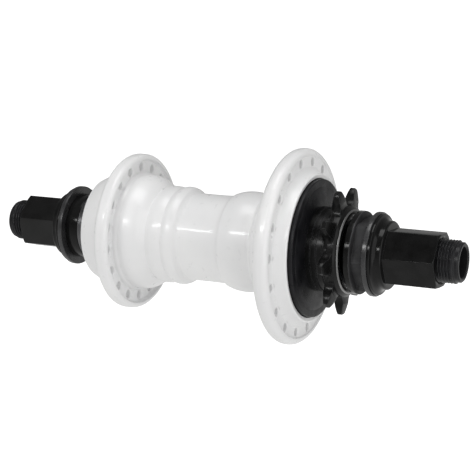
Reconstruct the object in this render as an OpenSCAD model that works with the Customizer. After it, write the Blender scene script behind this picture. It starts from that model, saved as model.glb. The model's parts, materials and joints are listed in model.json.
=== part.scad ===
// Rear cassette hub for a small-wheeled stunt bicycle, with a nine tooth driver.
// The hub axis is the Y axis, the drive side points to -Y, and Z is up. The origin lies on the
// axis, half-way between the two dropout faces. Each part is drawn round its own Z axis, where a
// height is a distance towards the drive side, and hub_axis() lays it down.

/* [Frame fit] */
// Distance between the two faces that the bicycle's dropouts rest on
dropout_spacing = 110; // [108:0.5:116]
// Angle of the drive-side axle nut about the axis
drive_nut_turn = 55.5; // [0:0.1:60]
// Angle of the left axle nut about the axis
left_nut_turn = 44; // [0:0.1:60]
// Width across the flats of the axle nuts
nut_flats = 17; // [16:0.5:19]
// Outer diameter of the washers under the axle nuts
washer_d = 27.5; // [26:0.5:30]

/* [Axle] */
// Diameter of the threaded ends
axle_d = 14; // [14:0.1:14]
// Diameter of the hole through the axle
axle_bore_d = 10; // [6:0.5:10.5]
// Diameter of the ground middle length that carries the bearings
seat_d = 15; // [15:0.1:15]
// Drive-side end of the axle, from the middle of the hub
axle_drive_end = 84.5; // [82:0.5:92]
// Left end of the axle, from the middle of the hub
axle_left_end = -81.6; // [-92:0.5:-80]

/* [Shell] */
// Diameter of the drive-side flange
drive_flange_d = 65.1; // [64:0.1:66]
// Diameter of the left flange
left_flange_d = 53.5; // [53:0.1:54.5]
// Diameter of the circle of spoke holes in the drive-side flange
drive_holes_d = 56.4; // [56:0.1:57]
// Diameter of the circle of spoke holes in the left flange
left_holes_d = 44.8; // [44.6:0.1:45.4]
// Spoke holes in each flange
holes_per_flange = 18; // [14, 16, 18]
// Diameter of a spoke hole
hole_d = 2.8; // [2.4:0.1:3]
// Diameter of the slim middle of the barrel
barrel_d = 29.8; // [29:0.1:31]

/* [Driver] */
// Teeth on the driver's sprocket
teeth = 9; // [9]
// Chain pitch
pitch = 12.7; // [12.7]
// Thickness of the sprocket
sprocket_t = 3; // [2.6:0.1:3.2]
// Outer diameter of the sprocket's teeth
tooth_tip_d = 42; // [41.6:0.1:42.4]
// Diameter of the driver's plain body
driver_d = 28; // [28:0.1:28.4]
// Outer diameter of the dust cover
cover_d = 45.5; // [45:0.1:45.6]

/* [Ratchet] */
// Teeth inside the ratchet ring
ratchet_teeth = 36; // [36]
// Diameter across the crests of the ratchet teeth
crest_d = 33.6; // [33.6:0.1:34]
// Depth of a ratchet tooth
ratchet_depth = 1.6; // [1.4:0.1:1.6]
// How far a pawl is folded in when it rides on the crests of the ratchet teeth
pawl_fold = 12; // [12:0.5:13]

/* [Hidden] */
$fn = 96;
eps = 0.01;

// Cartridge bearings: [inboard face, width, outer radius, ball radius, balls]. All share one bore.
shell_bearing_w = 7;
driver_bearing_w = 5;
left_bearing_at = -44;
centre_bearing_at = 12.5;
driver_inner_at = 21;
driver_outer_at = 41;
left_bearing = [left_bearing_at, shell_bearing_w, 14, 1.75, 13];
centre_bearing = [centre_bearing_at, shell_bearing_w, 14, 1.75, 13];
driver_inner_bearing = [driver_inner_at, driver_bearing_w, 12, 1.19, 16];
driver_outer_bearing = [driver_outer_at, driver_bearing_w, 12, 1.19, 16];
ball_gap = 0.15;
seal_t = 0.4;
seal_inset = 0.1;
seal_gap = 0.1;

// Axle and what is clamped on it
axle_r = axle_d / 2;
seat_r = seat_d / 2;
seat_setback = 0.5;
pilot_r = axle_r - 0.55;
pilot_l = 1.5;
chamfer = 0.4;
spacer_r = 8.9;
left_locknut_at = -50.3;
face_u = dropout_spacing / 2;
driver_outer_face = driver_outer_at + driver_bearing_w;

// Axle nuts: heights above the dropout face
thread_gap = 0.05;
washer_t = 1.6;
washer_bore_r = 8.3;
spigot_r = 8.2;
nut_foot_r = 13.2;
shoulder_r = 11.2;
shoulder_from = 4;
hex_from = 5.6;
drive_nut_top = 22.5;
left_nut_top = 20.1;

// Shell: distances along the axis, and radii
shell_left = -45.2;
left_face = -34.9;
left_inboard = -29.9;
left_hole_face = -31.3;
left_rim_round = 1.7;
drive_inboard = 25.1;
drive_face = 30.8;
hole_face = 30.3;
rim_round_in = 2.9;
rim_round_out = 2.2;
barrel_r = barrel_d / 2;
tube_r = 12.4;
drive_phase = 16.7;
left_phase = 6.2;

// Ratchet and pawls
ring_from = 24.8;
ring_to = 30.8;
ring_r = 20.8;
crest_r = crest_d / 2;
root_r = crest_r + ratchet_depth;
step_deg = 0.6;
ratchet_phase = 7.5;
carrier_r = 16;
carrier_from = 24.6;
carrier_to = 31;
pivot_r = 14.9;
heel_r = 1.4;
heel_gap = 0.05;
pawl_from = 25.6;
pawl_to = 30.2;
pawl_play = 0.1;
first_pawl = 90;
pawls = 3;

// Driver and its sprocket
driver_from = 20.6;
driver_r = driver_d / 2;
driver_bore_r = 11.3;
sprocket_mid = 44;
tooth_phase = 26;
pitch_r = pitch / (2 * sin(180 / teeth));
roller_r = 3.95;
flank_r = 5.5;
snap_groove_r = 12.6;
snap_t = 0.6;
cover_from = 31.9;
cover_rim = 35.5;
cover_hub = 36.2;
recess_gap = 0.3;

function polar(r, a) = [r * cos(a), r * sin(a)];

// Points of a round corner of radius r about [x, y], from angle a to angle b.
function corner(x, y, r, a, b, n = 8) =
    [for (i = [0:n]) [x, y] + polar(r, a + (b - a) * i / n)];

// Points of a gently bowed line from p to q, whose middle stands `rise` to the left of it.
function bow(p, q, rise, n = 8) =
    let (d = q - p, side = [-d[1], d[0]] / norm(d))
    [for (i = [0:n]) let (t = i / n) p + d * t + side * 4 * rise * t * (1 - t)];

function bearing_middle(b) = b[0] + b[1] / 2;
function ball_circle_r(b) = (seat_r + b[2]) / 2;
function outer_shoulder_r(b) = ball_circle_r(b) + 0.58 * b[3];
function inner_shoulder_r(b) = ball_circle_r(b) - 0.58 * b[3];

module hub_axis() rotate([90, 0, 0]) children();

module turned(outline) rotate_extrude() polygon(outline);

// A ring from radius r_in to radius r_out, between two heights.
module ring(r_in, r_out, from, to)
    turned([[r_in, from], [r_out, from], [r_out, to], [r_in, to]]);

module round_bar(r, from, to) translate([0, 0, from]) cylinder(r = r, h = to - from);

module at_angles(count, first = 0)
    for (i = [0:count - 1]) rotate([0, 0, first + i * 360 / count]) children();

// ---- Axle, spacers and cone nuts ----

module axle() color("#17181a") hub_axis() difference() {
    turned([
        [0, axle_left_end],
        [pilot_r - chamfer, axle_left_end],
        [pilot_r, axle_left_end + chamfer],
        [pilot_r, axle_left_end + pilot_l],
        [axle_r, axle_left_end + pilot_l + chamfer],
        [axle_r, left_bearing_at + seat_setback],
        [seat_r, left_bearing_at + seat_setback],
        [seat_r, driver_outer_face - seat_setback],
        [axle_r, driver_outer_face - seat_setback],
        [axle_r, axle_drive_end - pilot_l - chamfer],
        [pilot_r, axle_drive_end - pilot_l],
        [pilot_r, axle_drive_end - chamfer],
        [pilot_r - chamfer, axle_drive_end],
        [0, axle_drive_end],
    ]);
    round_bar(axle_bore_d / 2, axle_left_end - 1, axle_drive_end + 1);
}

module spacer(from, to) color("#9a9ca0") hub_axis() ring(seat_r, spacer_r, from, to);

module shell_spacer() spacer(left_bearing_at + shell_bearing_w, centre_bearing_at);
module centre_spacer() spacer(centre_bearing_at + shell_bearing_w, driver_inner_at);
module driver_spacer() spacer(driver_inner_at + driver_bearing_w, driver_outer_at);

// A hexagon with its corners chamfered at both ends, by `cut` of radius.
module hexagon(flats, from, to, cut) {
    corner_r = flats / 2 / cos(30);
    depth = cut * tan(30);
    intersection() {
        translate([0, 0, from]) cylinder(r = corner_r, h = to - from, $fn = 6);
        turned([
            [0, from], [corner_r - cut, from], [corner_r, from + depth],
            [corner_r, to - depth], [corner_r - cut, to], [0, to],
        ]);
    }
}

module left_cone_nut() color("#8d8f92") hub_axis()
    turned([
        [axle_r, left_bearing_at], [9.2, left_bearing_at], [9.2, left_bearing_at - 2],
        [10.6, left_bearing_at - 2], [11, left_bearing_at - 2.4], [11, left_locknut_at],
        [axle_r, left_locknut_at],
    ]);

module left_locknut() color("#1b1c1e") hub_axis()
    turned([
        [axle_r, left_locknut_at], [11.2, left_locknut_at], [11.2, -face_u + chamfer],
        [11.2 - chamfer, -face_u], [axle_r, -face_u],
    ]);

module drive_cone_nut() color("#1b1c1e") hub_axis() {
    collar_from = 48.8;
    collar_to = 51.1;
    difference() {
        union() {
            round_bar(inner_shoulder_r(driver_outer_bearing) - 0.2, driver_outer_face, collar_from);
            turned([
                [0, collar_from], [13.6 - chamfer, collar_from], [13.6, collar_from + chamfer],
                [13.6, collar_to - chamfer], [13.6 - chamfer, collar_to], [0, collar_to],
            ]);
            rotate([0, 0, 4.4]) hexagon(22, collar_to, face_u, 0.6);
        }
        round_bar(axle_r, driver_outer_face - 1, face_u + 1);
    }
}

// ---- Shell ----

function shell_outside() = concat(
    [[14, shell_left]],
    corner(16.8, shell_left + 0.6, 0.6, -90, -20, 4),
    bow([17.5, -44.5], [20.7, left_face], -0.5),
    [[left_flange_d / 2 - left_rim_round, left_face]],
    corner(left_flange_d / 2 - left_rim_round, left_face + left_rim_round, left_rim_round, -90, 0),
    corner(left_flange_d / 2 - left_rim_round, left_inboard - left_rim_round, left_rim_round, 0, 90),
    bow([24.9, -30], [24.3, left_hole_face], 0.1, 4),
    [[20.7, left_hole_face]],
    bow([20.4, -31], [19.8, -29.6], -0.1, 4),
    bow([19.7, -29.3], [16.9, -21.6], -0.9),
    bow([16.3, -20.9], [16.2, -15.4], -0.42),
    bow([16.2, -15.2], [16.2, -10.9], -0.55),
    bow([16.0, -10.6], [barrel_r, -9.5], 0.1, 4),
    bow([barrel_r, -9.2], [barrel_r, 4.2], 0.1),
    bow([15.1, 4.6], [15.9, 5.6], 0.1, 4),
    bow([16.0, 5.8], [16.3, 15.4], -0.8),
    bow([16.2, 16.2], [16.2, 17.2], 0.15, 4),
    bow([16.4, 17.5], [21.2, 22.6], -0.5),
    bow([21.4, 22.9], [24.9, drive_inboard], 0.45),
    corner(drive_flange_d / 2 - rim_round_in, drive_inboard + rim_round_in, rim_round_in, -90, 0),
    corner(drive_flange_d / 2 - rim_round_out, drive_face - rim_round_out, rim_round_out, 0, 90),
    bow([30.2, drive_face - 0.1], [29.8, hole_face], 0.06, 4),
    bow([26.6, hole_face], [24.6, 33.7], 0.35),
    corner(24.05, 33.65, 0.5, 10, 120, 6),
    [[cover_d / 2 + recess_gap, 33.9]]
);

module hub_shell() color("#f2f2f0") hub_axis() difference() {
    turned(concat(shell_outside(), [
        [cover_d / 2 + recess_gap, carrier_to], [ring_r, carrier_to], [ring_r, ring_from],
        [17.6, ring_from], [17.6, 22.4], [15.2, 22.4],
        [15.2, centre_bearing_at + shell_bearing_w],
        [14, centre_bearing_at + shell_bearing_w], [14, centre_bearing_at],
        [tube_r, centre_bearing_at], [tube_r, left_bearing_at + shell_bearing_w],
        [14, left_bearing_at + shell_bearing_w],
    ]));
    at_angles(holes_per_flange, drive_phase)
        translate([drive_holes_d / 2, 0, 0]) round_bar(hole_d / 2, drive_inboard - 1, drive_face + 1);
    at_angles(holes_per_flange, left_phase)
        translate([left_holes_d / 2, 0, 0]) round_bar(hole_d / 2, left_face - 1, left_hole_face + 1);
}

module ratchet_ring() color("#6f7276") hub_axis() difference() {
    round_bar(ring_r, ring_from, ring_to);
    translate([0, 0, ring_from - 1]) linear_extrude(ring_to - ring_from + 2)
        polygon([for (i = [0:ratchet_teeth - 1])
            let (a = ratchet_phase + i * 360 / ratchet_teeth)
            for (p = [polar(crest_r, a), polar(root_r, a + step_deg)]) p]);
}

module left_dust_seal() color("#26272a") hub_axis()
    ring(9.2 + seal_gap, 14, left_bearing_at - 0.9, left_bearing_at);

// ---- Driver ----

module tooth_blank() {
    offset_y = flank_r - (pitch / 2 - roller_r);
    intersection_for (side = [-1, 1])
        translate([pitch_r * cos(180 / teeth), side * offset_y, sprocket_mid - sprocket_t / 2])
            cylinder(r = flank_r, h = sprocket_t);
}

module sprocket() {
    half = sprocket_t / 2;
    intersection() {
        difference() {
            union() {
                round_bar(pitch_r, sprocket_mid - half, sprocket_mid + half);
                at_angles(teeth, tooth_phase) tooth_blank();
            }
            at_angles(teeth, tooth_phase + 180 / teeth)
                translate([pitch_r, 0, 0])
                    round_bar(roller_r, sprocket_mid - half - 1, sprocket_mid + half + 1);
        }
        turned([
            [0, sprocket_mid - half], [17.4, sprocket_mid - half],
            [tooth_tip_d / 2, sprocket_mid - 0.75], [tooth_tip_d / 2, sprocket_mid + 0.75],
            [17.4, sprocket_mid + half], [0, sprocket_mid + half],
        ]);
    }
}

// The room for one pawl: a socket for its heel, and a pocket that it folds into.
module pawl_pocket() translate([0, 0, pawl_from - pawl_play])
    linear_extrude(pawl_to - pawl_from + 2 * pawl_play)
        polygon([
            [13.15, 0], [13.15, -6.8], [14.8, -8.3], [19, -9.5], [19, -0.9],
            [pivot_r, -0.9], [pivot_r, 0],
        ]);

module driver() color("#141416") hub_axis() {
    groove_r = driver_r - 0.25;
    boss_to = 47.2;
    difference() {
        union() {
            round_bar(14.6, driver_from, carrier_from);
            round_bar(carrier_r, carrier_from, carrier_to);
            round_bar(driver_r, carrier_to, sprocket_mid);
            sprocket();
            turned([[0, sprocket_mid], [15, sprocket_mid], [15, boss_to - 1.4],
                [13.2, boss_to], [0, boss_to]]);
        }
        round_bar(driver_bore_r, driver_from - 1, boss_to + 1);
        round_bar(12, driver_from - 1, driver_inner_at + driver_bearing_w);
        round_bar(12, driver_outer_at, boss_to + 1);
        round_bar(snap_groove_r, driver_outer_face, driver_outer_face + snap_t);
        for (at = [37.6, 39.6, 41.6]) ring(groove_r, driver_r + 1, at, at + 0.4);
        at_angles(pawls, first_pawl) {
            pawl_pocket();
            translate([pivot_r, 0, 0])
                round_bar(heel_r + heel_gap, pawl_from - pawl_play, pawl_to + pawl_play);
        }
    }
}

module dust_cover() color("#161618") hub_axis()
    turned([
        [driver_r, carrier_to], [15.8, carrier_to], [15.8, 35], [21.4, 34.5],
        [21.4, cover_from], [cover_d / 2 - chamfer, cover_from],
        [cover_d / 2, cover_from + chamfer], [cover_d / 2, cover_rim - chamfer],
        [cover_d / 2 - chamfer, cover_rim], [14.9, cover_hub - 0.1], [driver_r, cover_hub],
    ]);

module driver_snap_ring() color("#b9bbbe") hub_axis() difference() {
    ring(11.1, snap_groove_r, driver_outer_face, driver_outer_face + snap_t);
    translate([0, -1.5, driver_outer_face - 1]) cube([20, 3, snap_t + 2]);
}

// One pawl, drawn pushed out into the ratchet and then folded in about its heel.
module pawl(i) color("#7c7f83") hub_axis()
    rotate([0, 0, first_pawl + i * 360 / pawls])
        translate([pivot_r, 0, 0]) rotate([0, 0, -pawl_fold]) translate([-pivot_r, 0, 0]) {
            translate([pivot_r, 0, 0]) round_bar(heel_r, pawl_from, pawl_to);
            translate([0, 0, pawl_from]) linear_extrude(pawl_to - pawl_from)
                polygon([
                    [pivot_r, 0], polar(16.2, -2), polar(16.45, -12), polar(17.6, -19),
                    polar(15.9, -19), polar(13.65, -2),
                ]);
        }

// Three flat leaf springs, pressed down under the folded pawls.
module pawl_springs() color("#9fa2a6") hub_axis()
    at_angles(pawls, first_pawl)
        translate([13.15, -5.8, 26.4]) cube([0.2, 4.6, 3]);

// ---- Axle nuts and washers, drawn above the drive-side dropout face ----

module washer_shape() difference() {
    turned([
        [0, 0], [washer_d / 2 - 0.3, 0], [washer_d / 2, 0.3],
        [washer_d / 2, washer_t - 0.3], [washer_d / 2 - 0.3, washer_t], [0, washer_t],
    ]);
    round_bar(washer_bore_r, -1, washer_t + 1);
}

module nut_shape(nut_top) difference() {
    union() {
        round_bar(spigot_r, washer_t - 1.3, washer_t + 1);
        turned(concat(
            [[0, washer_t], [nut_foot_r, washer_t], [nut_foot_r, washer_t + 0.9]],
            bow([nut_foot_r - 0.1, washer_t + 1], [shoulder_r, shoulder_from], 0.3),
            [[shoulder_r, hex_from - 0.7], [shoulder_r - 0.7, hex_from], [0, hex_from]]
        ));
        hexagon(nut_flats, hex_from - 1, nut_top, 0.9);
    }
    round_bar(axle_r + thread_gap, -1, nut_top + 1);
    translate([0, 0, nut_top - 0.7])
        cylinder(r1 = axle_r + thread_gap, r2 = axle_r + 0.8, h = 0.7 + eps);
}

module drive_side() hub_axis() translate([0, 0, face_u]) children();
module left_side() hub_axis() mirror([0, 0, 1]) translate([0, 0, face_u]) children();

module drive_washer() color("#202124") drive_side() washer_shape();
module drive_axle_nut() color("#141517") drive_side() rotate([0, 0, drive_nut_turn]) nut_shape(drive_nut_top);
module left_washer() color("#202124") left_side() washer_shape();
module left_axle_nut() color("#141517") left_side() rotate([0, 0, left_nut_turn]) nut_shape(left_nut_top);

// ---- Cartridge bearings ----

module ball_groove(b) rotate_extrude() translate([ball_circle_r(b), 0]) circle(b[3] + ball_gap);

module race(b, r_in, r_out) color("#c3c5c8") hub_axis() translate([0, 0, bearing_middle(b)])
    difference() {
        ring(r_in, r_out, -b[1] / 2, b[1] / 2);
        ball_groove(b);
    }

module outer_race(b) race(b, outer_shoulder_r(b), b[2]);
module inner_race(b) race(b, seat_r, inner_shoulder_r(b));

module balls(b) color("#d4d6d9") hub_axis() translate([0, 0, bearing_middle(b)])
    at_angles(b[4]) translate([ball_circle_r(b), 0, 0]) sphere(b[3], $fn = 32);

// A crown cage: a ring beside the balls, with prongs that reach between them.
module cage(b) color("#a98a4a") hub_axis() translate([0, 0, bearing_middle(b)])
    difference() {
        ring(ball_circle_r(b) - 0.34 * b[3], ball_circle_r(b) + 0.34 * b[3], 0, 1.45 * b[3]);
        at_angles(b[4]) translate([ball_circle_r(b), 0, 0]) sphere(b[3] + 0.05, $fn = 32);
    }

module seals(b) color("#23343f") hub_axis() translate([0, 0, bearing_middle(b)])
    for (side = [0, 1]) mirror([0, 0, side])
        ring(inner_shoulder_r(b) + seal_gap, outer_shoulder_r(b),
            b[1] / 2 - seal_inset - seal_t, b[1] / 2 - seal_inset);

axle();
shell_spacer();
centre_spacer();
driver_spacer();
left_cone_nut();
left_locknut();
drive_cone_nut();
hub_shell();
ratchet_ring();
left_dust_seal();
driver();
dust_cover();
driver_snap_ring();
pawl(0);  // pawl_1
pawl(1);  // pawl_2
pawl(2);  // pawl_3
pawl_springs();
left_washer();
left_axle_nut();
drive_washer();
drive_axle_nut();
outer_race(left_bearing);  // left_bearing_outer_race
inner_race(left_bearing);  // left_bearing_inner_race
balls(left_bearing);  // left_bearing_balls
cage(left_bearing);  // left_bearing_cage
seals(left_bearing);  // left_bearing_seals
outer_race(centre_bearing);  // centre_bearing_outer_race
inner_race(centre_bearing);  // centre_bearing_inner_race
balls(centre_bearing);  // centre_bearing_balls
cage(centre_bearing);  // centre_bearing_cage
seals(centre_bearing);  // centre_bearing_seals
outer_race(driver_inner_bearing);  // driver_inner_bearing_outer_race
inner_race(driver_inner_bearing);  // driver_inner_bearing_inner_race
balls(driver_inner_bearing);  // driver_inner_bearing_balls
cage(driver_inner_bearing);  // driver_inner_bearing_cage
seals(driver_inner_bearing);  // driver_inner_bearing_seals
outer_race(driver_outer_bearing);  // driver_outer_bearing_outer_race
inner_race(driver_outer_bearing);  // driver_outer_bearing_inner_race
balls(driver_outer_bearing);  // driver_outer_bearing_balls
cage(driver_outer_bearing);  // driver_outer_bearing_cage
seals(driver_outer_bearing);  // driver_outer_bearing_seals
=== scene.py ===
import json
import math

import bmesh
import bpy
from mathutils import Matrix, Vector


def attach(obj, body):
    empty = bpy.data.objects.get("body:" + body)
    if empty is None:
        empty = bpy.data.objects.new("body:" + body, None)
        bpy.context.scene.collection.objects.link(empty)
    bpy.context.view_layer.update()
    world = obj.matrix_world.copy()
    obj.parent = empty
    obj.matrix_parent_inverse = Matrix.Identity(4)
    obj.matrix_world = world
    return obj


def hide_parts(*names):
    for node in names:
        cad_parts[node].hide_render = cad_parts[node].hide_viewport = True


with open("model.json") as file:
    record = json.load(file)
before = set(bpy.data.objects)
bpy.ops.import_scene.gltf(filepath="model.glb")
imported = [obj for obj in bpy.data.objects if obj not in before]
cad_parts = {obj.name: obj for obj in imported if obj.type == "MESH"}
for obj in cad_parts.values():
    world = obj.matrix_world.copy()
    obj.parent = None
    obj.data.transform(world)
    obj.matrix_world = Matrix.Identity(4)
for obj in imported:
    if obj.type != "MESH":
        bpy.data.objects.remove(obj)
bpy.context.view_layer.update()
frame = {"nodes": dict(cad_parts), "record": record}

# Millimetres become metres in point(). Outlines are lists of (radius, height), and a height is a
# distance from the middle of the hub towards the drive side, which is -Y.
MM = 0.001

# Axle. The dropout faces are at FACE on the drive side and -FACE on the left.
AXLE_R = 7.0
THREAD_GAP = 0.05
SEAT_R = 7.5
BORE_R = 5.0
PILOT_R = 6.45
AXLE_LEFT = -81.6
AXLE_DRIVE = 84.5
THREAD_PITCH = 1.0
THREAD_DEPTH = 0.5
THREADS = ((-79.7, -50.5), (51.5, 82.6))
FACE = 55.0

# Flanges and spoke holes. A phase is the angle of the first hole, in degrees.
HOLES = 18
HOLE_R = 1.4
HOLE_EDGE = 0.55
DRIVE_HOLES_R = 28.2
LEFT_HOLES_R = 22.4
DRIVE_PHASE = 16.7
LEFT_PHASE = 6.2
DRIVE_RIM_R = 32.55
LEFT_RIM_R = 26.75
LEFT_FACE = -34.9
LEFT_INBOARD = -29.9
DRIVE_INBOARD = 25.1
DRIVE_FACE = 30.8
DRIVE_HOLE_FACE = 30.3
LEFT_HOLE_FACE = -31.3

# Sprocket, for 12.7 mm chain
TEETH = 9
PITCH_R = 18.566
ROLLER_R = 3.95
FLANK_R = 5.5
TIP_R = 21.0
SPROCKET_MID = 44.0
SPROCKET_HALF = 1.5
TOOTH_PHASE = 26.0

# Driver
PLAIN_DRIVER_R = 14.0
BOSS_R = 15.0
PAWL_ANGLES = (90, 210, 330)

# Nuts, cones and washers. A nut's top is measured from the dropout face.
NUT_FLATS = 17.0
DRIVE_NUT_TOP = 22.5
LEFT_NUT_TOP = 20.1
DRIVE_NUT_TURN = 55.5
LEFT_NUT_TURN = 44.0
CONE_FLATS = 22.0
CONE_TURN = 4.4
WASHER_R = 13.75
WASHER_THICK = 1.6
SPIGOT_R = 8.2
SHOULDER_R = 11.2


# ---- Outlines ----

def polar(r, degrees):
    """The point at a radius and an angle."""
    a = math.radians(degrees)
    return (r * math.cos(a), r * math.sin(a))


def arc(cx, cy, r, start, end, steps=10):
    """Points of an arc round (cx, cy), from one angle to another."""
    points = []
    for i in range(steps + 1):
        x, y = polar(r, start + (end - start) * i / steps)
        points.append((cx + x, cy + y))
    return points


def bow(p, q, rise, steps=14):
    """Points of a gently bowed line, whose middle stands `rise` to the left of p to q."""
    dx, dy = q[0] - p[0], q[1] - p[1]
    length = math.hypot(dx, dy)
    points = []
    for i in range(steps + 1):
        t = i / steps
        lift = 4 * rise * t * (1 - t) / length
        points.append((p[0] + dx * t - dy * lift, p[1] + dy * t + dx * lift))
    return points


def ladder(r, start, end, step):
    """Points at one radius, evenly spaced along the axis."""
    count = round(abs(end - start) / step)
    return [(r, start + (end - start) * i / count) for i in range(count + 1)]


def ngon(flats, corner_r=0.35, steps=4):
    """A hexagon with slightly rounded corners, a corner at angle zero."""
    across = flats / 2 / math.cos(math.radians(30))
    inset = across - corner_r / math.cos(math.radians(30))
    points = []
    for k in range(6):
        x, y = polar(inset, 60 * k)
        points += arc(x, y, corner_r, 60 * k - 30, 60 * k + 30, steps)
    return points


def turned_about(points, degrees):
    """The same points, turned round the origin."""
    c, s = polar(1, degrees)
    return [(x * c - y * s, x * s + y * c) for x, y in points]


# ---- Meshes ----

def point(x, z, height):
    return (x * MM, -height * MM, z * MM)


def new_piece(name, bm):
    bmesh.ops.recalc_face_normals(bm, faces=bm.faces)
    mesh = bpy.data.meshes.new(name)
    bm.to_mesh(mesh)
    bm.free()
    piece = bpy.data.objects.new(name, mesh)
    bpy.context.collection.objects.link(piece)
    return piece


def lathe(name, outline, segments=256, reshape=None):
    """Turns a closed outline round the hub axis. reshape(r, height, turn) may change a radius."""
    bm = bmesh.new()
    rings = []
    for r, height in outline:
        ring = []
        for i in range(segments):
            turn = i / segments
            here = reshape(r, height, turn) if reshape else r
            x, z = polar(here, 360 * turn)
            ring.append(bm.verts.new(point(x, z, height)))
        rings.append(ring)
    for k, ring in enumerate(rings):
        after = rings[(k + 1) % len(rings)]
        for i in range(segments):
            j = (i + 1) % segments
            bm.faces.new((ring[i], ring[j], after[j], after[i]))
    return new_piece(name, bm)


def prism(name, outline, start, end):
    """A straight bar along the hub axis, with the outline as its cross-section."""
    bm = bmesh.new()
    low = [bm.verts.new(point(x, z, start)) for x, z in outline]
    high = [bm.verts.new(point(x, z, end)) for x, z in outline]
    bm.faces.new(low)
    bm.faces.new(list(reversed(high)))
    for i in range(len(low)):
        j = (i + 1) % len(low)
        bm.faces.new((low[i], low[j], high[j], high[i]))
    return new_piece(name, bm)


def bake(piece):
    """Replaces a piece's mesh by the result of its modifiers."""
    graph = bpy.context.evaluated_depsgraph_get()
    result = bpy.data.meshes.new_from_object(piece.evaluated_get(graph))
    before = piece.data
    piece.modifiers.clear()
    piece.data = result
    bpy.data.meshes.remove(before)


def combine(piece, tool, operation):
    """Cuts, joins or intersects a piece with a tool, and removes the tool."""
    change = piece.modifiers.new("combine", "BOOLEAN")
    change.operation = operation
    change.solver = "MANIFOLD"
    change.object = tool
    bake(piece)
    bpy.data.objects.remove(tool)


def soften(piece, width, degrees=30, segments=2):
    """Rounds a piece's sharp edges."""
    edge = piece.modifiers.new("soften", "BEVEL")
    edge.width = width * MM
    edge.segments = segments
    edge.limit_method = "ANGLE"
    edge.angle_limit = math.radians(degrees)
    edge.use_clamp_overlap = True
    edge.harden_normals = False
    bake(piece)


def shade(piece, degrees=32):
    """Shades a piece smooth, except across edges sharper than the angle."""
    piece.data.shade_smooth()
    piece.data.set_sharp_from_angle(angle=math.radians(degrees))


def join(pieces, name):
    """Makes one piece of several."""
    bm = bmesh.new()
    for piece in pieces:
        bm.from_mesh(piece.data)
        bpy.data.objects.remove(piece)
    return new_piece(name, bm)


# ---- Materials ----

class Finish:
    """A node material that starts from noise in the piece's own coordinates."""

    def __init__(self, name):
        self.material = bpy.data.materials.new(name)
        self.material.use_nodes = True
        self.tree = self.material.node_tree
        self.shader = self.tree.nodes["Principled BSDF"]
        self.place = self.tree.nodes.new("ShaderNodeTexCoord").outputs["Object"]
        self.bump = None

    def set(self, **values):
        for socket, value in values.items():
            self.shader.inputs[socket.replace("_", " ")].default_value = value

    def link(self, source, socket):
        self.tree.links.new(source, self.shader.inputs[socket])

    def math(self, operation, a, b):
        node = self.tree.nodes.new("ShaderNodeMath")
        node.operation = operation
        for i, value in enumerate((a, b)):
            if isinstance(value, (int, float)):
                node.inputs[i].default_value = value
            else:
                self.tree.links.new(value, node.inputs[i])
        return node.outputs[0]

    def noise(self, per_mm, detail=3.0, roughness=0.55, place=None):
        node = self.tree.nodes.new("ShaderNodeTexNoise")
        node.inputs["Scale"].default_value = per_mm / MM
        node.inputs["Detail"].default_value = detail
        node.inputs["Roughness"].default_value = roughness
        self.tree.links.new(place or self.place, node.inputs["Vector"])
        return node.outputs["Fac"]

    def rings(self, per_mm):
        """Noise that is the same all the way round the hub axis, as lathe marks are."""
        apart = self.tree.nodes.new("ShaderNodeSeparateXYZ")
        self.tree.links.new(self.place, apart.inputs[0])
        across = self.math("MULTIPLY", apart.outputs["X"], apart.outputs["X"])
        up = self.math("MULTIPLY", apart.outputs["Z"], apart.outputs["Z"])
        radius = self.math("SQRT", self.math("ADD", across, up), 0)
        together = self.tree.nodes.new("ShaderNodeCombineXYZ")
        self.tree.links.new(radius, together.inputs["X"])
        self.tree.links.new(apart.outputs["Y"], together.inputs["Y"])
        return self.noise(per_mm, 2.0, 0.6, together.outputs[0])

    def ramp(self, source, stops):
        """Maps 0..1 to colours or greys. stops is a list of (place, colour or grey)."""
        node = self.tree.nodes.new("ShaderNodeValToRGB")
        ramp = node.color_ramp
        while len(ramp.elements) < len(stops):
            ramp.elements.new(0.5)
        for element, (place, colour) in zip(ramp.elements, stops):
            element.position = place
            grey = isinstance(colour, (int, float))
            element.color = (colour, colour, colour, 1) if grey else (*colour, 1)
        self.tree.links.new(source, node.inputs["Fac"])
        return node.outputs["Color"]

    def add_bump(self, height, depth_mm, strength=1.0):
        node = self.tree.nodes.new("ShaderNodeBump")
        node.inputs["Strength"].default_value = strength
        node.inputs["Distance"].default_value = depth_mm * MM
        self.tree.links.new(height, node.inputs["Height"])
        if self.bump:
            self.tree.links.new(self.bump, node.inputs["Normal"])
        self.bump = node.outputs["Normal"]
        self.link(self.bump, "Normal")

    def mix(self, amount, a, b):
        node = self.tree.nodes.new("ShaderNodeMix")
        node.data_type = "RGBA"
        self.tree.links.new(amount, node.inputs["Factor"])
        for socket, value in (("A", a), ("B", b)):
            target = next(i for i in node.inputs if i.name == socket and i.type == "RGBA")
            if isinstance(value, tuple):
                target.default_value = (*value, 1)
            else:
                self.tree.links.new(value, target)
        return next(o for o in node.outputs if o.type == "RGBA")

    def edges(self, width_mm):
        """Is 1 along sharp edges and 0 elsewhere, broken up by noise."""
        rounded = self.tree.nodes.new("ShaderNodeBevel")
        rounded.samples = 4
        rounded.inputs["Radius"].default_value = width_mm * MM
        flat = self.tree.nodes.new("ShaderNodeNewGeometry")
        dot = self.tree.nodes.new("ShaderNodeVectorMath")
        dot.operation = "DOT_PRODUCT"
        self.tree.links.new(rounded.outputs[0], dot.inputs[0])
        self.tree.links.new(flat.outputs["Normal"], dot.inputs[1])
        sharp = self.ramp(dot.outputs["Value"], [(0.86, 1.0), (0.985, 0.0)])
        return self.math("MULTIPLY", sharp, self.noise(0.9, 4.0))


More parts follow.
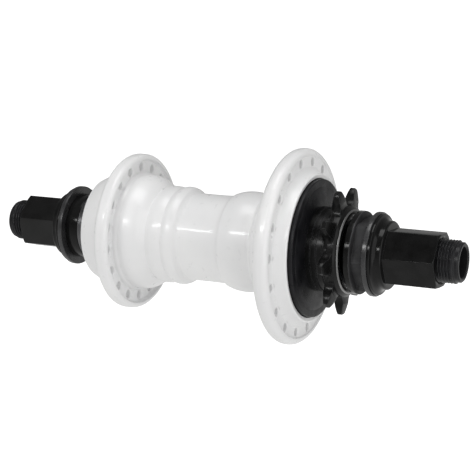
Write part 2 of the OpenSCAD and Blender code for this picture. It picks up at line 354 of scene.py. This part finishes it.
def white_shell():
    """Thick gloss paint: a slight orange peel and uneven sheen."""
    f = Finish("gloss_white_paint")
    patches = f.noise(0.05, 3.0)
    f.link(f.ramp(patches, [(0.3, (0.80, 0.80, 0.805)), (0.7, (0.85, 0.85, 0.85))]), "Base Color")
    f.link(f.ramp(f.noise(0.4, 4.0), [(0.3, 0.26), (0.7, 0.38)]), "Roughness")
    f.set(Coat_Weight=0.3, Coat_Roughness=0.08, Specular_IOR_Level=0.35)
    f.add_bump(f.noise(0.35, 2.0), 0.05, 0.35)
    f.add_bump(f.noise(3.0, 2.0), 0.006, 0.4)
    return f


def black_metal(name, colour, rough, grain_mm, worn, rings=0.0, level=0.18):
    """Black oxide on steel: faint grain, lathe rings, uneven sheen and brighter worn edges."""
    f = Finish(name)
    light = tuple(c * 1.9 + 0.004 for c in colour)
    base = f.ramp(f.noise(0.16, 5.0), [(0.35, colour), (0.75, light)])
    f.link(f.mix(f.edges(0.22), base, worn), "Base Color")
    sheen = f.ramp(f.noise(0.3, 5.0), [(0.3, rough * 0.8), (0.75, rough * 1.3)])
    f.link(sheen, "Roughness")
    f.set(Metallic=0.0, Specular_IOR_Level=level)
    f.add_bump(f.noise(6.0, 3.0), grain_mm, 0.6)
    if rings:
        f.add_bump(f.rings(4.0), rings, 0.7)
    return f


def bright_metal(name, colour, rough, rings):
    """Bare machined metal with lathe rings and duller patches."""
    f = Finish(name)
    dull = tuple(c * 0.75 for c in colour)
    f.link(f.ramp(f.noise(0.25, 4.0), [(0.35, colour), (0.8, dull)]), "Base Color")
    f.link(f.ramp(f.rings(3.0), [(0.3, rough * 0.7), (0.7, rough * 1.3)]), "Roughness")
    f.set(Metallic=1.0)
    f.add_bump(f.rings(5.0), rings, 0.6)
    return f


def soft_part(name, colour, rough):
    """Rubber or nylon: matt, mottled and finely grained."""
    f = Finish(name)
    light = tuple(c * 1.35 + 0.01 for c in colour)
    f.link(f.ramp(f.noise(0.5, 4.0), [(0.3, colour), (0.7, light)]), "Base Color")
    f.link(f.ramp(f.noise(0.9, 3.0), [(0.3, rough * 0.85), (0.7, min(1.0, rough * 1.15))]), "Roughness")
    f.add_bump(f.noise(5.0, 3.0), 0.02, 0.5)
    return f


def brushed_cover():
    """Black anodised disc whose lathe marks spread its highlights outwards."""
    f = black_metal("black_anodised", (0.006, 0.006, 0.007), 0.3, 0.003, (0.05, 0.05, 0.052), 0.006)
    tangent = f.tree.nodes.new("ShaderNodeTangent")
    tangent.direction_type = "RADIAL"
    tangent.axis = "Y"
    f.link(tangent.outputs[0], "Tangent")
    f.set(Anisotropic=0.75)
    return f


WORN = (0.10, 0.10, 0.105)
JET = (0.003, 0.003, 0.003)
FINISHES = {
    "white_shell": white_shell(),
    "black_steel": black_metal("black_axle", (0.008, 0.008, 0.009), 0.3, 0.006, WORN),
    "black_nut_steel": black_metal("black_nut", JET, 0.14, 0.004, WORN),
    "black_washer": black_metal("black_washer", (0.02, 0.02, 0.021), 0.25, 0.006, WORN, 0.004, 0.5),
    "black_driver_steel": black_metal("black_driver", JET, 0.24, 0.006, WORN, 0.01),
    "black_cover": brushed_cover(),
    # The left cone ring's zinc colour is set darker than the metal's own tone. This is painted shade for
    # its recess between the shell and the locknut.
    "plain_steel": bright_metal("zinc_darkened_as_painted_shade", (0.13, 0.13, 0.135), 0.3, 0.008),
    "bearing_steel": bright_metal("ground_steel", (0.75, 0.75, 0.77), 0.16, 0.003),
    "ratchet_steel": bright_metal("hardened_steel", (0.42, 0.42, 0.43), 0.34, 0.006),
    "spring_steel": bright_metal("spring_steel", (0.70, 0.70, 0.71), 0.2, 0.004),
    "spacer_alloy": bright_metal("turned_alloy", (0.72, 0.73, 0.74), 0.3, 0.010),
    "seal_rubber": soft_part("seal_rubber", (0.012, 0.018, 0.026), 0.62),
    "cage_plastic": soft_part("cage_nylon", (0.42, 0.28, 0.12), 0.5),
}
BARE_EDGE = bright_metal("bare_edge", (0.3, 0.3, 0.3), 0.35, 0.004)
SANDY = black_metal("black_sandblasted", (0.020, 0.020, 0.021), 0.5, 0.05, WORN)


def stand_in(piece, node, slot_name, finish=None):
    """Puts a finished piece in the place of a CAD node, on the same body."""
    piece.data.materials.clear()
    piece.data.materials.append((finish or FINISHES[slot_name]).material)
    body = next(b for b, nodes in frame["record"]["behaviour"]["bodies"].items() if node in nodes)
    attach(piece, body)
    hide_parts(node)


# ---- Shell ----

def hole_cutter(radius_at, angle, start, end):
    """A spoke hole from one face of a flange to the other, with rounded lips."""
    lip = []
    for k in range(7):
        depth = HOLE_EDGE * k / 6
        flare = HOLE_EDGE - math.sqrt(HOLE_EDGE**2 - (HOLE_EDGE - depth)**2)
        lip.append((depth, HOLE_R + flare))
    widest = lip[0][1]
    stations = [(start - 1, widest)]
    stations += [(start + depth, r) for depth, r in lip]
    stations += [(end - depth, r) for depth, r in reversed(lip)]
    stations += [(end + 1, widest)]
    cx, cz = polar(radius_at, angle)
    bm = bmesh.new()
    rings = []
    for height, r in stations:
        rings.append([bm.verts.new(point(cx + x, cz + z, height)) for x, z in arc(0, 0, r, 0, 352.5, 47)])
    bm.faces.new(rings[0])
    bm.faces.new(list(reversed(rings[-1])))
    for ring, after in zip(rings, rings[1:]):
        for i in range(len(ring)):
            j = (i + 1) % len(ring)
            bm.faces.new((ring[i], ring[j], after[j], after[i]))
    return new_piece("hole_cutter", bm)


def shell_outline():
    """The left cup, left flange, waist, drive flange and recess, and back through the bore."""
    left_rim = LEFT_RIM_R - 1.7
    outside = [(14, -45.2)]
    outside += arc(16.8, -44.6, 0.6, -90, -20, 6)
    outside += bow((17.5, -44.5), (20.7, LEFT_FACE), -0.5)
    outside += [(left_rim, LEFT_FACE)]
    outside += arc(left_rim, LEFT_FACE + 1.7, 1.7, -90, 0)
    outside += arc(left_rim, LEFT_INBOARD - 1.7, 1.7, 0, 90)
    outside += bow((24.9, -30), (24.3, LEFT_HOLE_FACE), 0.1, 5)
    outside += [(20.7, LEFT_HOLE_FACE)]
    outside += bow((20.4, -31), (19.8, -29.6), -0.1, 5)
    outside += bow((19.7, -29.3), (16.9, -21.6), -0.9)
    outside += bow((16.3, -20.9), (16.2, -15.4), -0.42)
    outside += bow((16.2, -15.2), (16.2, -10.9), -0.55)
    outside += bow((16.0, -10.6), (14.9, -9.5), 0.1, 5)
    outside += bow((14.9, -9.2), (14.9, 4.2), 0.1)
    outside += bow((15.1, 4.6), (15.9, 5.6), 0.1, 5)
    outside += bow((16.0, 5.8), (16.3, 15.4), -0.8)
    outside += bow((16.2, 16.2), (16.2, 17.2), 0.15, 5)
    outside += bow((16.4, 17.5), (21.2, 22.6), -0.5)
    outside += bow((21.4, 22.9), (24.9, DRIVE_INBOARD), 0.45)
    outside += arc(DRIVE_RIM_R - 2.9, DRIVE_INBOARD + 2.9, 2.9, -90, 0)
    outside += arc(DRIVE_RIM_R - 2.2, DRIVE_FACE - 2.2, 2.2, 0, 90)
    outside += bow((30.2, DRIVE_FACE - 0.1), (29.8, DRIVE_HOLE_FACE), 0.06, 5)
    outside += bow((26.6, DRIVE_HOLE_FACE), (24.6, 33.7), 0.35)
    outside += arc(24.05, 33.65, 0.5, 10, 120, 8)
    inside = [(23.05, 33.9), (23.05, 31.0), (20.8, 31.0), (20.8, 24.8), (17.6, 24.8), (17.6, 22.4)]
    inside += [(15.2, 22.4), (15.2, 19.5), (14, 19.5), (14, 12.5), (12.4, 12.5), (12.4, -37), (14, -37)]
    return outside + inside


def make_shell():
    shell = lathe("painted_shell", shell_outline(), 384)
    holes = []
    for i in range(HOLES):
        step = 360 * i / HOLES
        holes.append(hole_cutter(DRIVE_HOLES_R, DRIVE_PHASE + step, DRIVE_INBOARD, DRIVE_HOLE_FACE))
        holes.append(hole_cutter(LEFT_HOLES_R, LEFT_PHASE + step, LEFT_FACE, LEFT_HOLE_FACE))
    combine(shell, join(holes, "holes"), "DIFFERENCE")
    shade(shell, 28)
    stand_in(shell, "hub_shell", "white_shell")


# ---- Axle ----

def thread(r, height, turn):
    """Cuts a right-hand thread into the plain ends, fading out over one turn at each end."""
    if abs(r - AXLE_R) > 0.01:
        return r
    for start, end in THREADS:
        if start <= height <= end:
            phase = (height / THREAD_PITCH - turn) % 1
            wave = abs(2 * phase - 1)
            flat = min(1.0, max(0.0, wave * 1.35 - 0.12))
            fade = min(1.0, (height - start) / THREAD_PITCH, (end - height) / THREAD_PITCH)
            return r - THREAD_DEPTH * flat * fade
    return r


def make_axle():
    """The hollow axle: pilot, thread, plain middle, bearing seat, thread and pilot."""
    outline = [(PILOT_R - 0.4, AXLE_LEFT), (PILOT_R, AXLE_LEFT + 0.4), (PILOT_R, AXLE_LEFT + 1.5)]
    outline += ladder(AXLE_R, THREADS[0][0], THREADS[0][1], 0.1)
    outline += [(AXLE_R, -43.5), (SEAT_R, -43.5), (SEAT_R, 45.5), (AXLE_R, 45.5)]
    outline += ladder(AXLE_R, THREADS[1][0], THREADS[1][1], 0.1)
    outline += [(PILOT_R, AXLE_DRIVE - 1.5), (PILOT_R, AXLE_DRIVE - 0.4), (PILOT_R - 0.4, AXLE_DRIVE)]
    outline += [(BORE_R + 0.4, AXLE_DRIVE), (BORE_R, AXLE_DRIVE - 0.4)]
    outline += [(BORE_R, AXLE_LEFT + 0.4), (BORE_R + 0.4, AXLE_LEFT)]
    axle = lathe("threaded_axle", outline, 128, thread)
    shade(axle, 40)
    stand_in(axle, "axle", "black_steel")


# ---- Nuts, cones and washers ----

def chamfered_hexagon(name, flats, start, end, cut, turn):
    """A hexagon whose corners are turned off in a cone at both ends."""
    across = flats / 2 / math.cos(math.radians(30)) - 0.05
    depth = cut * math.tan(math.radians(30))
    bar = prism(name, turned_about(ngon(flats), turn), start, end)
    outline = [(1, start), (across - cut, start), (across + 0.6, start + depth * (1 + 0.6 / cut))]
    outline += [(across + 0.6, end - depth * (1 + 0.6 / cut)), (across - cut, end), (1, end)]
    combine(bar, lathe("chamfer", outline, 192), "INTERSECT")
    return bar


def mirror_to_left(piece):
    """Moves a drive-side piece to the same place on the left."""
    piece.data.transform(Matrix.Scale(-1, 4, Vector((0, 1, 0))))
    piece.data.flip_normals()


def make_axle_nut(node, turn, length, left):
    """A long hexagon on a round shoulder, whose spigot holds the washer."""
    foot = FACE + WASHER_THICK
    top = FACE + length
    shoulder_top = FACE + 5.6
    nut = chamfered_hexagon(node + "_shape", NUT_FLATS, shoulder_top - 1, top, 0.9, turn)
    outline = [(2, foot - 1.3), (SPIGOT_R, foot - 1.3), (SPIGOT_R, foot)]
    outline += arc(13.0, foot + 0.2, 0.2, -90, 0, 4) + arc(12.95, foot + 0.7, 0.25, 0, 70, 4)
    outline += bow((12.9, foot + 1.0), (SHOULDER_R, FACE + 4.0), 0.3)
    outline += arc(SHOULDER_R - 0.7, shoulder_top - 0.7, 0.7, 0, 90, 6)
    outline += [(2, shoulder_top)]
    combine(nut, lathe("nut_foot", outline, 192), "UNION")
    bore_r = AXLE_R + THREAD_GAP
    bore = [(1, FACE - 1), (bore_r, FACE - 1), (bore_r, top - 0.7), (7.8, top + 0.05)]
    combine(nut, lathe("nut_bore", bore + [(7.8, top + 1), (1, top + 1)], 192), "DIFFERENCE")
    core = [(0.5, FACE - 2), (3, FACE - 2), (3, FACE + 25), (0.5, FACE + 25)]
    combine(nut, lathe("nut_core", core, 32), "DIFFERENCE")
    soften(nut, 0.14, 28)
    if left:
        mirror_to_left(nut)
    shade(nut, 30)
    stand_in(nut, node, "black_nut_steel")


def make_washer(node, left):
    top = FACE + WASHER_THICK
    flat_r = WASHER_R - 0.4
    corner_r = WASHER_R - 0.3
    outline = [(SPIGOT_R + 0.1, FACE), (flat_r, FACE)]
    outline += arc(corner_r, FACE + 0.3, 0.3, -90, 0, 5) + arc(corner_r, top - 0.3, 0.3, 0, 90, 5)
    outline += [(flat_r, top), (SPIGOT_R + 0.1, top)]
    washer = lathe(node + "_disc", outline, 192)
    if left:
        mirror_to_left(washer)
    shade(washer)
    stand_in(washer, node, "black_washer")


def make_drive_cone():
    """A glossy round collar inboard and a sandblasted hexagon outboard."""
    collar = [(7, 46), (9.1, 46), (9.1, 48.8), (13.2, 48.8)]
    collar += arc(13.2, 49.2, 0.4, -90, 0, 5) + [(13.6, 50.7), (7, 50.7)]
    cone = lathe("drive_cone_collar", collar, 192)
    shade(cone)
    stand_in(cone, "drive_cone_nut", "black_nut_steel")
    hexagon = chamfered_hexagon("drive_cone_hexagon", CONE_FLATS, 50.9, FACE, 0.6, CONE_TURN)
    shelf = [(3, 50.7), (13.6, 50.7)] + arc(13.3, 50.8, 0.3, 0, 90, 4) + [(3, 51.1)]
    combine(hexagon, lathe("cone_shelf", shelf, 192), "UNION")
    bore = [(0.5, 50), (7, 50), (7, 56), (0.5, 56)]
    combine(hexagon, lathe("cone_bore", bore, 128), "DIFFERENCE")
    soften(hexagon, 0.12, 28)
    shade(hexagon, 30)
    stand_in(hexagon, "drive_cone_nut", "black_nut_steel", SANDY)


def make_left_cone():
    """The bright cone nut and the black locknut beside it."""
    cone = [(7, -44), (9.2, -44), (9.2, -46), (10.6, -46)]
    cone += arc(10.6, -46.4, 0.4, 90, 0, 5) + [(11, -50.3), (7, -50.3)]
    piece = lathe("left_cone_ring", cone, 192)
    shade(piece)
    stand_in(piece, "left_cone_nut", "plain_steel")
    lock = [(7, -50.3), (10.9, -50.3)] + arc(10.9, -50.6, 0.3, 90, 0, 5)
    lock += arc(10.8, -FACE + 0.4, 0.4, 0, -90, 5) + [(7, -FACE)]
    piece = lathe("left_locknut_ring", lock, 192)
    shade(piece)
    stand_in(piece, "left_locknut", "black_nut_steel")


# ---- Driver ----

def sprocket_outline():
    """Round roller seats and bowed flanks, with the tips cut to a circle."""
    half = 180 / TEETH
    seat_x, seat_y = polar(PITCH_R, half)
    flank_y = FLANK_R - (seat_y - ROLLER_R)
    tip_y = math.sqrt(FLANK_R**2 - (TIP_R - seat_x)**2) - flank_y
    tip_angle = math.degrees(math.atan2(tip_y + flank_y, TIP_R - seat_x))
    seat = arc(seat_x, seat_y, ROLLER_R, 180 + half, 270, 10)
    flank = arc(seat_x, -flank_y, FLANK_R, 90, tip_angle, 8)
    rising = [(x, -y) for x, y in seat + flank[1:]]
    falling = list(reversed([(x, -y) for x, y in rising]))
    points = []
    for k in range(TEETH):
        points += turned_about(rising + falling[:-1], TOOTH_PHASE + 2 * half * k)
    return points


def driver_outline():
    """From the bearing's end to the mouth, and back through the bore."""
    r = PLAIN_DRIVER_R
    outline = [(12, 20.6), (14.6, 20.6), (14.6, 24.6), (16, 24.6), (16, 31), (r, 31)]
    for groove in (37.6, 39.6, 41.6):
        outline += [(r, groove), (r - 0.25, groove + 0.05), (r - 0.25, groove + 0.35), (r, groove + 0.4)]
    outline += [(r, 43), (BOSS_R, 44), (BOSS_R, 45.8)] + arc(BOSS_R - 0.3, 45.8, 0.3, 0, 50, 3)
    outline += [(13.3, 47.1)] + arc(13.0, 46.9, 0.3, 50, 90, 2)
    outline += [(12.3, 47.2), (12, 46.9), (12, 46.6), (12.6, 46.6), (12.6, 46)]
    outline += [(12, 46), (12, 41), (11.3, 41), (11.3, 26), (12, 26)]
    return outline


def pawl_pockets():
    """Each pawl's room, and the round socket that it tilts in."""
    start, end = 25.5, 30.3
    pockets = []
    for angle in PAWL_ANGLES:
        room = [(13.15, 0), (13.15, -6.8), (14.8, -8.3), (19, -9.5), (19, -0.9), (14.9, -0.9), (14.9, 0)]
        pockets.append(prism("pocket", turned_about(room, angle), start, end))
        x, z = polar(14.9, angle)
        pockets.append(prism("socket", arc(x, z, 1.45, 0, 345, 23), start, end))
    return pockets


def make_driver():
    low, high = SPROCKET_MID - SPROCKET_HALF, SPROCKET_MID + SPROCKET_HALF
    driver = prism("driver_with_sprocket", sprocket_outline(), low, high)
    blank = [(12.8, low), (17.4, low), (TIP_R, SPROCKET_MID - 0.75), (TIP_R, SPROCKET_MID + 0.75)]
    combine(driver, lathe("tip_cone", blank + [(17.4, high), (12.8, high)], 192), "INTERSECT")
    soften(driver, 0.18, 28)
    combine(driver, lathe("driver_body", driver_outline(), 256), "UNION")
    for pocket in pawl_pockets():
        combine(driver, pocket, "DIFFERENCE")
    shade(driver, 30)
    stand_in(driver, "driver", "black_driver_steel")
    edge = lathe("worn_mouth_edge", [(13.3, 47.0), (13.8, 46.7), (13.78, 46.84), (13.32, 47.15)], 256)
    shade(edge, 20)
    stand_in(edge, "driver", "black_driver_steel", BARE_EDGE)


def make_dust_cover():
    """A disc with a flat rim band and a shallow cone inside it."""
    outline = [(14, 31), (15.8, 31), (15.8, 35), (21.4, 34.5), (21.4, 31.9), (22.35, 31.9)]
    outline += arc(22.35, 32.3, 0.4, -90, 0, 4) + arc(22.45, 35.15, 0.3, 0, 80, 5)
    outline += [(20.3, 35.45), (20.1, 35.58), (14.9, 36.08), (14, 36.18)]
    cover = lathe("dust_cover_disc", outline, 256)
    shade(cover)
    stand_in(cover, "dust_cover", "black_cover")


# ---- Studio ----

def softbox(name, place, width, length, power):
    """A rectangular light that faces the hub; its length runs along the hub axis."""
    data = bpy.data.lights.new(name, "AREA")
    data.shape = "RECTANGLE"
    data.size = width
    data.size_y = length
    data.energy = power
    light = bpy.data.objects.new(name, data)
    bpy.context.collection.objects.link(light)
    away = Vector(place).normalized()
    side = away.cross(Vector((0, 1, 0))).normalized()
    along = away.cross(side)
    basis = Matrix((side, along, away)).transposed().to_4x4()
    light.matrix_world = Matrix.Translation(Vector(place)) @ basis


def make_room():
    """Surrounding light that is bright from below and dim from above."""
    world = bpy.data.worlds.new("dim_room")
    world.use_nodes = True
    tree = world.node_tree
    direction = tree.nodes.new("ShaderNodeTexCoord").outputs["Generated"]
    apart = tree.nodes.new("ShaderNodeSeparateXYZ")
    tree.links.new(direction, apart.inputs[0])
    level = tree.nodes.new("ShaderNodeMapRange")
    level.inputs["From Min"].default_value = -0.5
    level.inputs["From Max"].default_value = 0.3
    level.inputs["To Min"].default_value = 0.82
    level.inputs["To Max"].default_value = 0.22
    tree.links.new(apart.outputs["Z"], level.inputs["Value"])
    tree.links.new(level.outputs[0], tree.nodes["Background"].inputs["Strength"])
    tree.nodes["Background"].inputs["Color"].default_value = (1.0, 1.0, 0.99, 1)
    bpy.context.scene.world = world


def make_lights():
    softbox("overhead", (-0.05, -0.05, 1.05), 0.5, 0.8, 4.6)
    softbox("left_strip", (-0.87, 0.2, 0.48), 0.09, 0.6, 3.0)
    softbox("drive_panel", (-0.45, -1.15, 0.3), 1.4, 1.4, 7.5)
    softbox("left_fill", (-0.6, 1.2, 0.1), 1.0, 1.0, 1.0)


def make_sweep():
    """A white floor that curves up into the backdrop. Only the camera sees it."""
    segments = 64
    bm = bmesh.new()
    rings = []
    profile = [(0.02, -0.3), (3.0, -0.3)] + arc(3.0, 0.7, 1.0, -90, 0, 8) + [(4.0, 4.0)]
    for r, height in profile:
        ring = [bm.verts.new((*polar(r, 360 * i / segments), height)) for i in range(segments)]
        rings.append(ring)
    bm.faces.new(rings[0])
    for ring, after in zip(rings, rings[1:]):
        for i in range(segments):
            j = (i + 1) % segments
            bm.faces.new((ring[i], ring[j], after[j], after[i]))
    sweep = new_piece("studio_sweep", bm)
    shade(sweep, 60)
    f = Finish("studio_white")
    f.link(f.ramp(f.noise(0.0005, 2.0), [(0.3, 0.9), (0.7, 0.95)]), "Base Color")
    f.set(Roughness=0.9, Emission_Color=(1, 1, 1, 1), Emission_Strength=1.0)
    sweep.data.materials.append(f.material)
    sweep.visible_glossy = False
    sweep.visible_diffuse = False
    sweep.visible_shadow = False


def make_camera():
    right = Vector((0.42738, -0.90407, 0.0))
    up = Vector((0.18630, 0.08807, 0.97854))
    back = Vector((-0.88467, -0.41821, 0.20607))
    data = bpy.data.cameras.new("camera")
    data.sensor_width = 36
    data.lens = 112.213
    camera = bpy.data.objects.new("camera", data)
    bpy.context.collection.objects.link(camera)
    place = back * 0.499225 + right * 0.005097 + up * 0.000624
    basis = Matrix((right, up, back)).transposed().to_4x4()
    camera.matrix_world = Matrix.Translation(place) @ basis
    bpy.context.scene.camera = camera


make_camera()
make_room()
make_lights()
make_sweep()
for entry in frame["record"]["subparts"]:
    for carried in frame["nodes"][entry["node"]].material_slots:
        carried.material = FINISHES[entry["material_slot"]].material
make_shell()
make_axle()
make_drive_cone()
make_left_cone()
make_axle_nut("drive_axle_nut", DRIVE_NUT_TURN, DRIVE_NUT_TOP, False)
make_axle_nut("left_axle_nut", LEFT_NUT_TURN, LEFT_NUT_TOP, True)
make_washer("drive_washer", False)
make_washer("left_washer", True)
make_driver()
make_dust_cover()

view = bpy.context.scene.view_settings
view.view_transform = "Standard"
view.look = "None"
